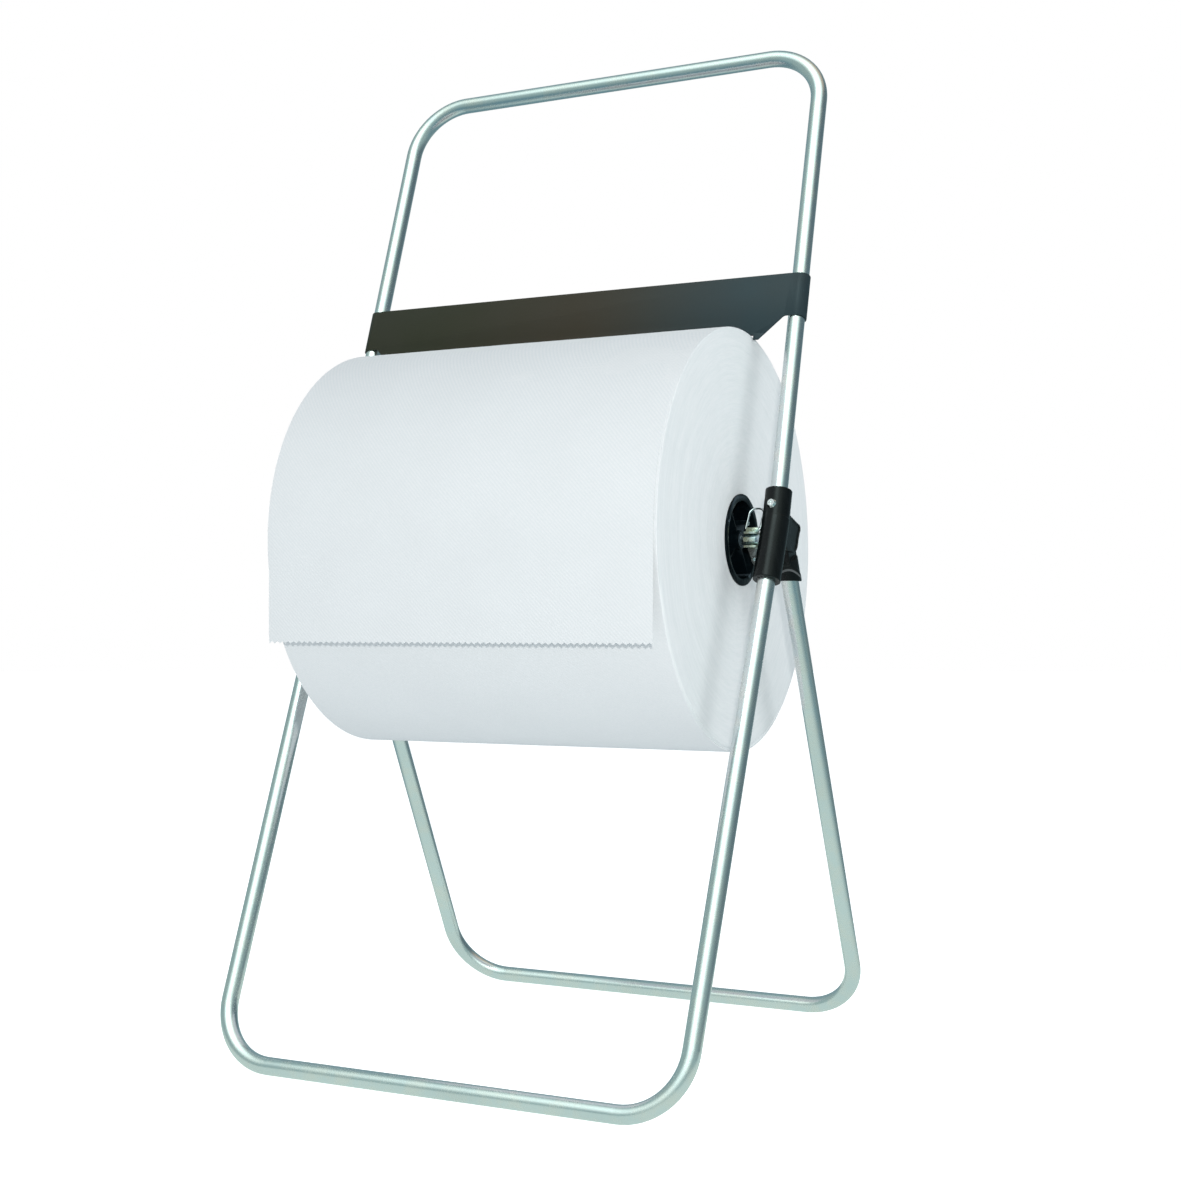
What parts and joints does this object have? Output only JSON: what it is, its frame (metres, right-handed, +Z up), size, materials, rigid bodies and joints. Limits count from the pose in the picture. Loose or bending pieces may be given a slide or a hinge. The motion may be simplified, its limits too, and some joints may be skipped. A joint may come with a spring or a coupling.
{
  "type": "paper roll floor stand",
  "caption": "Folding floor stand of bent bright tube holding a wide wiping-paper roll on a spindle, with a dark tear plate across the upper loop and black plastic hinges.",
  "frame": {"origin": "on the floor, at the bottom centre of the whole stand's box, midway between the front and rear floor bars", "axes": "+X to the right along the spindle, +Y from the paper's hanging end to the rear legs, +Z up"},
  "size_m": [0.4972, 0.478, 0.9777],
  "materials": {
    "bright_tube": "polished",
    "coated_plate": "satin",
    "black_plastic": "satin",
    "gloss_black": "gloss",
    "zinc_fastener": "satin",
    "grey_sheet": "satin",
    "yellow_zinc": "satin",
    "spring_wire": "polished",
    "zinc_rod": "satin",
    "core_board": "matte",
    "wiping_paper": "matte"
  },
  "bodies": {
    "front_frame": {"upper_loop": "bright_tube", "front_leg_loop": "bright_tube", "tear_plate": "coated_plate", "plate_ears": "coated_plate", "left_front_sleeve": "black_plastic", "right_front_sleeve": "black_plastic", "pivot_studs": "zinc_fastener", "pivot_nuts": "zinc_fastener", "sleeve_screws": "zinc_fastener", "left_bracket": "grey_sheet", "right_bracket": "grey_sheet", "left_jaw": "yellow_zinc", "right_jaw": "yellow_zinc", "bracket_screws": "zinc_fastener", "jaw_rivets": "zinc_fastener"},
    "rear_leg": {"rear_leg_loop": "bright_tube", "left_rear_socket": "black_plastic", "right_rear_socket": "black_plastic"},
    "spindle": {"spindle_rod": "zinc_rod", "spindle_clips": "gloss_black", "paper_tail": "wiping_paper"},
    "roll": {"paper_roll": "wiping_paper", "core_tube": "core_board", "left_core_plug": "gloss_black", "right_core_plug": "gloss_black", "plug_screws": "zinc_fastener"},
    "left_bail": {"left_bail": "spring_wire"},
    "right_bail": {"right_bail": "spring_wire"}
  },
  "joints": [
    {"name": "rear_leg_fold", "type": "hinge", "parent": "front_frame", "child": "rear_leg", "pos_m": [0, -0.007, 0.481], "axis": [1, 0, 0], "range_deg": [-49.4, 0]},
    {"name": "roll_out", "type": "slide", "parent": "front_frame", "child": "spindle", "axis": [0, -1, 0], "range_m": [0, 0.25]},
    {"name": "roll_spin", "type": "hinge", "parent": "spindle", "child": "roll", "pos_m": [0, -0.007, 0.481], "axis": [1, 0, 0], "continuous": true},
    {"name": "left_bail_swing", "type": "hinge", "parent": "front_frame", "child": "left_bail", "pos_m": [-0.20595, -0.005, 0.49], "axis": [1, 0, 0], "range_deg": [0, 150]},
    {"name": "right_bail_swing", "type": "hinge", "parent": "front_frame", "child": "right_bail", "pos_m": [0.20595, -0.005, 0.49], "axis": [1, 0, 0], "range_deg": [0, 150]}
  ]
}
